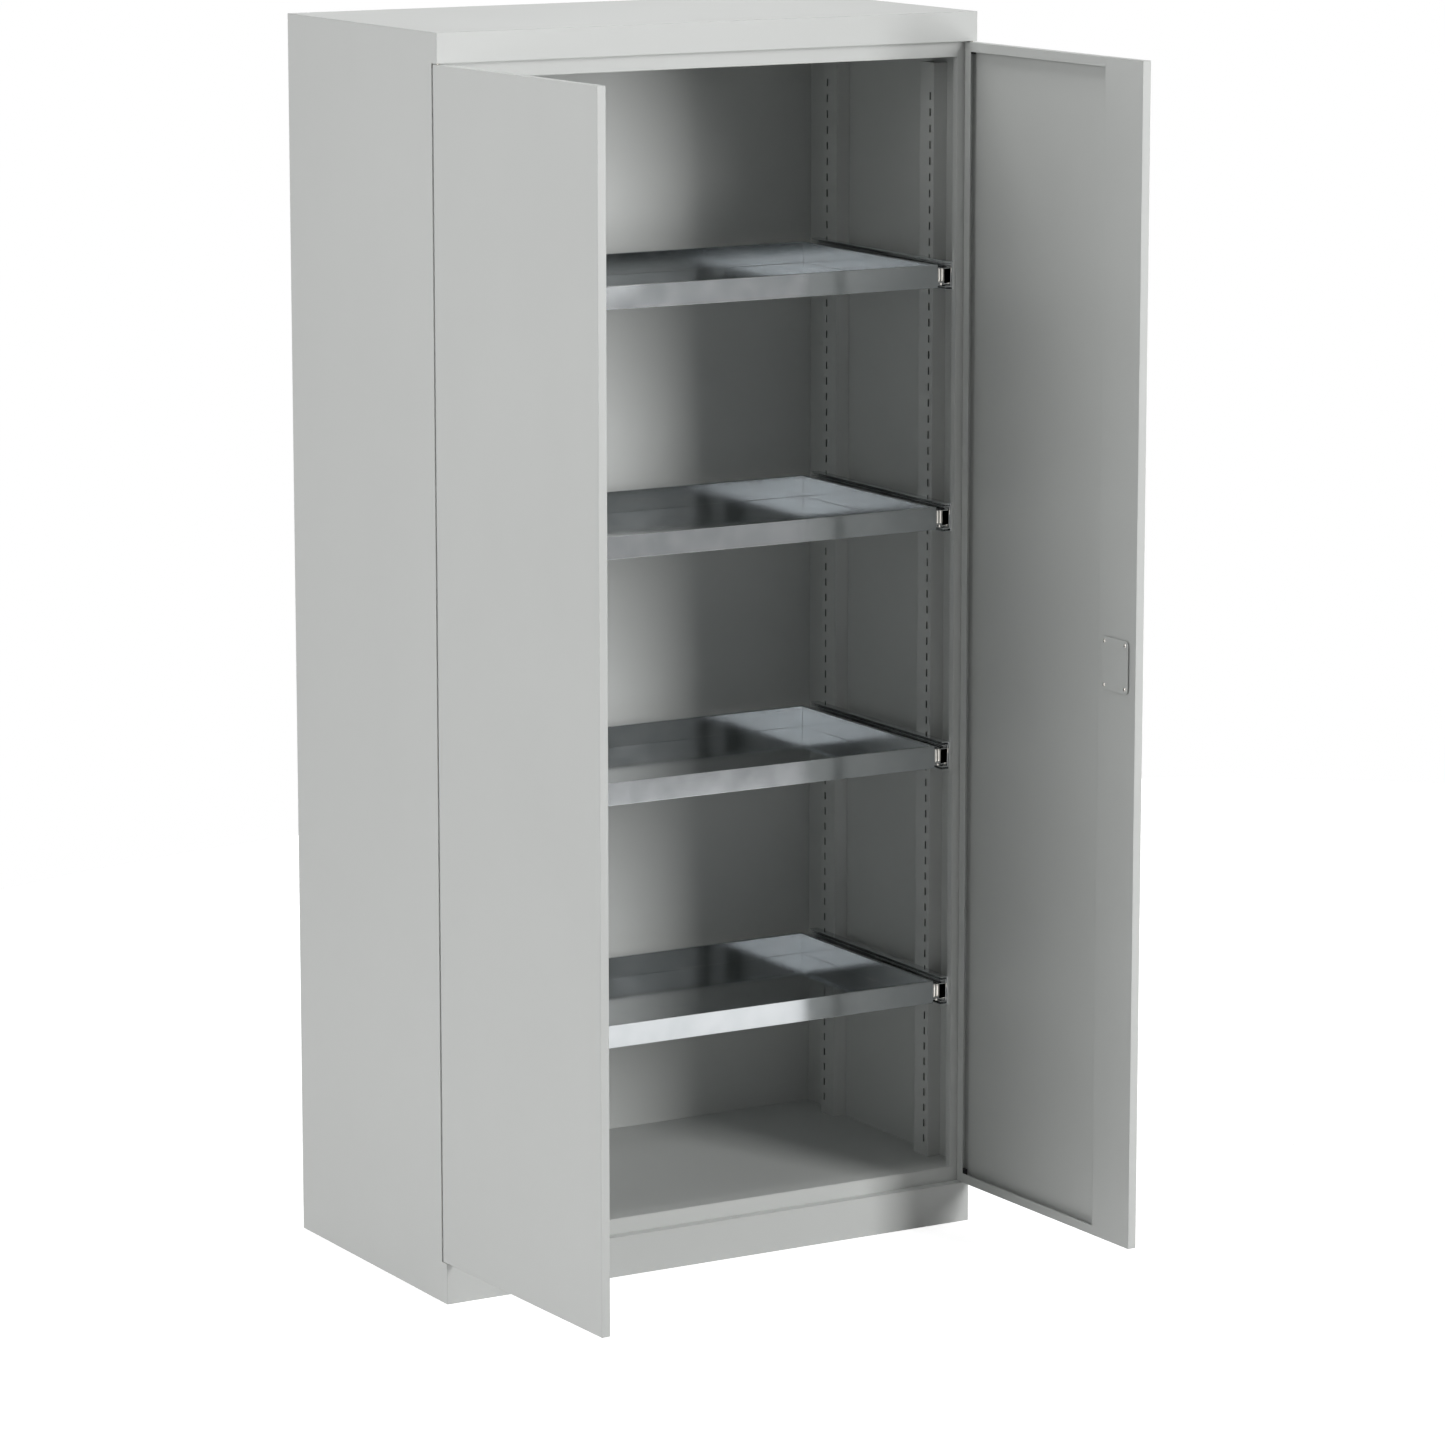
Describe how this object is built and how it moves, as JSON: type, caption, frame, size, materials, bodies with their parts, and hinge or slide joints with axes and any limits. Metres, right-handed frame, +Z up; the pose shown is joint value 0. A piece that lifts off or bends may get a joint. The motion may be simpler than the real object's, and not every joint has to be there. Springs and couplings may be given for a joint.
{
  "type": "storage cupboard",
  "caption": "Tall light grey steel cupboard with wing doors, shown open, and shallow bright zinc trays on telescopic rails.",
  "frame": {"origin": "on the floor, on the centre line, 20 mm behind the front face, mid-way of the whole with its doors open", "axes": "+Z up, +Y to the back, +X to the right as seen from the front"},
  "size_m": [0.9629, 0.9615, 1.95],
  "materials": {
    "light_grey_paint": "light grey powder coat",
    "bright_zinc": "bright zinc-plated sheet",
    "nickel_plate": "nickel-plated steel",
    "dark_plastic": "moulded black plastic"
  },
  "bodies": {
    "cabinet": {"left_side_panel": "light_grey_paint", "right_side_panel": "light_grey_paint", "back_panel": "light_grey_paint", "roof_panel": "light_grey_paint", "upper_stop_rail": "light_grey_paint", "plinth": "light_grey_paint", "lower_stop_rail": "light_grey_paint", "floor_panel": "light_grey_paint", "left_jamb": "light_grey_paint", "right_jamb": "light_grey_paint", "left_front_post": "light_grey_paint", "right_front_post": "light_grey_paint", "left_rear_post": "light_grey_paint", "right_rear_post": "light_grey_paint", "upper_hinge_pins": "nickel_plate", "lower_hinge_pins": "nickel_plate", "left_outer_rail_1": "bright_zinc", "right_outer_rail_1": "bright_zinc", "left_outer_rail_2": "bright_zinc", "right_outer_rail_2": "bright_zinc", "left_outer_rail_3": "bright_zinc", "right_outer_rail_3": "bright_zinc", "left_outer_rail_4": "bright_zinc", "right_outer_rail_4": "bright_zinc"},
    "left_door": {"left_door_pan": "light_grey_paint", "left_door_stile": "light_grey_paint", "left_door_stiffener": "light_grey_paint", "left_hinge_bushes": "dark_plastic"},
    "right_door": {"right_door_pan": "light_grey_paint", "right_door_stile": "light_grey_paint", "right_door_stiffener": "light_grey_paint", "right_hinge_bushes": "dark_plastic", "lock_cover": "light_grey_paint", "lock_rivets": "nickel_plate", "handle_dish": "dark_plastic"},
    "handle": {"turn_handle": "dark_plastic", "lock_cylinder": "nickel_plate", "lock_cam": "nickel_plate"},
    "upper_rod": {"upper_lock_rod": "nickel_plate"},
    "lower_rod": {"lower_lock_rod": "nickel_plate"},
    "tray_1": {"tray_1": "bright_zinc", "left_inner_rail_1": "bright_zinc", "right_inner_rail_1": "bright_zinc"},
    "middle_rails_1": {"left_middle_rail_1": "bright_zinc", "right_middle_rail_1": "bright_zinc"},
    "tray_2": {"tray_2": "bright_zinc", "left_inner_rail_2": "bright_zinc", "right_inner_rail_2": "bright_zinc"},
    "middle_rails_2": {"left_middle_rail_2": "bright_zinc", "right_middle_rail_2": "bright_zinc"},
    "tray_3": {"tray_3": "bright_zinc", "left_inner_rail_3": "bright_zinc", "right_inner_rail_3": "bright_zinc"},
    "middle_rails_3": {"left_middle_rail_3": "bright_zinc", "right_middle_rail_3": "bright_zinc"},
    "tray_4": {"tray_4": "bright_zinc", "left_inner_rail_4": "bright_zinc", "right_inner_rail_4": "bright_zinc"},
    "middle_rails_4": {"left_middle_rail_4": "bright_zinc", "right_middle_rail_4": "bright_zinc"}
  },
  "joints": [
    {"name": "left_door_swing", "type": "hinge", "parent": "cabinet", "child": "left_door", "pos_m": [-0.469, -0.014, 0.98], "axis": [0, 0, -1], "range_deg": [-88.1, 21.9]},
    {"name": "right_door_swing", "type": "hinge", "parent": "cabinet", "child": "right_door", "pos_m": [0.469, -0.014, 0.98], "axis": [0, 0, 1], "range_deg": [-91.5, 18.5]},
    {"name": "tray_1_slide", "type": "slide", "parent": "cabinet", "child": "tray_1", "axis": [0, -1, 0], "range_m": [0, 0.38]},
    {"name": "middle_rails_1_slide", "type": "slide", "parent": "cabinet", "child": "middle_rails_1", "axis": [0, -1, 0], "range_m": [0, 0.19]},
    {"name": "tray_2_slide", "type": "slide", "parent": "cabinet", "child": "tray_2", "axis": [0, -1, 0], "range_m": [0, 0.38]},
    {"name": "middle_rails_2_slide", "type": "slide", "parent": "cabinet", "child": "middle_rails_2", "axis": [0, -1, 0], "range_m": [0, 0.19]},
    {"name": "tray_3_slide", "type": "slide", "parent": "cabinet", "child": "tray_3", "axis": [0, -1, 0], "range_m": [0, 0.38]},
    {"name": "middle_rails_3_slide", "type": "slide", "parent": "cabinet", "child": "middle_rails_3", "axis": [0, -1, 0], "range_m": [0, 0.19]},
    {"name": "tray_4_slide", "type": "slide", "parent": "cabinet", "child": "tray_4", "axis": [0, -1, 0], "range_m": [0, 0.38]},
    {"name": "middle_rails_4_slide", "type": "slide", "parent": "cabinet", "child": "middle_rails_4", "axis": [0, -1, 0], "range_m": [0, 0.19]},
    {"name": "handle_turn", "type": "hinge", "parent": "right_door", "child": "handle", "pos_m": [0.4819, -0.4303, 0.978], "axis": [0.9997, 0.0262, 0], "range_deg": [0, 90]},
    {"name": "upper_rod_slide", "type": "slide", "parent": "right_door", "child": "upper_rod", "axis": [0, 0, 1], "range_m": [0, 0.01556]},
    {"name": "lower_rod_slide", "type": "slide", "parent": "right_door", "child": "lower_rod", "axis": [0, 0, -1], "range_m": [0, 0.01556]}
  ],
  "couplings": [
    {"joint": "middle_rails_1_slide", "follows": "tray_1_slide", "ratio": 0.5},
    {"joint": "middle_rails_2_slide", "follows": "tray_2_slide", "ratio": 0.5},
    {"joint": "middle_rails_3_slide", "follows": "tray_3_slide", "ratio": 0.5},
    {"joint": "middle_rails_4_slide", "follows": "tray_4_slide", "ratio": 0.5},
    {"joint": "lower_rod_slide", "follows": "upper_rod_slide", "ratio": 1},
    {"joint": "handle_turn", "follows": "upper_rod_slide", "rad_per_m": 100.97}
  ]
}
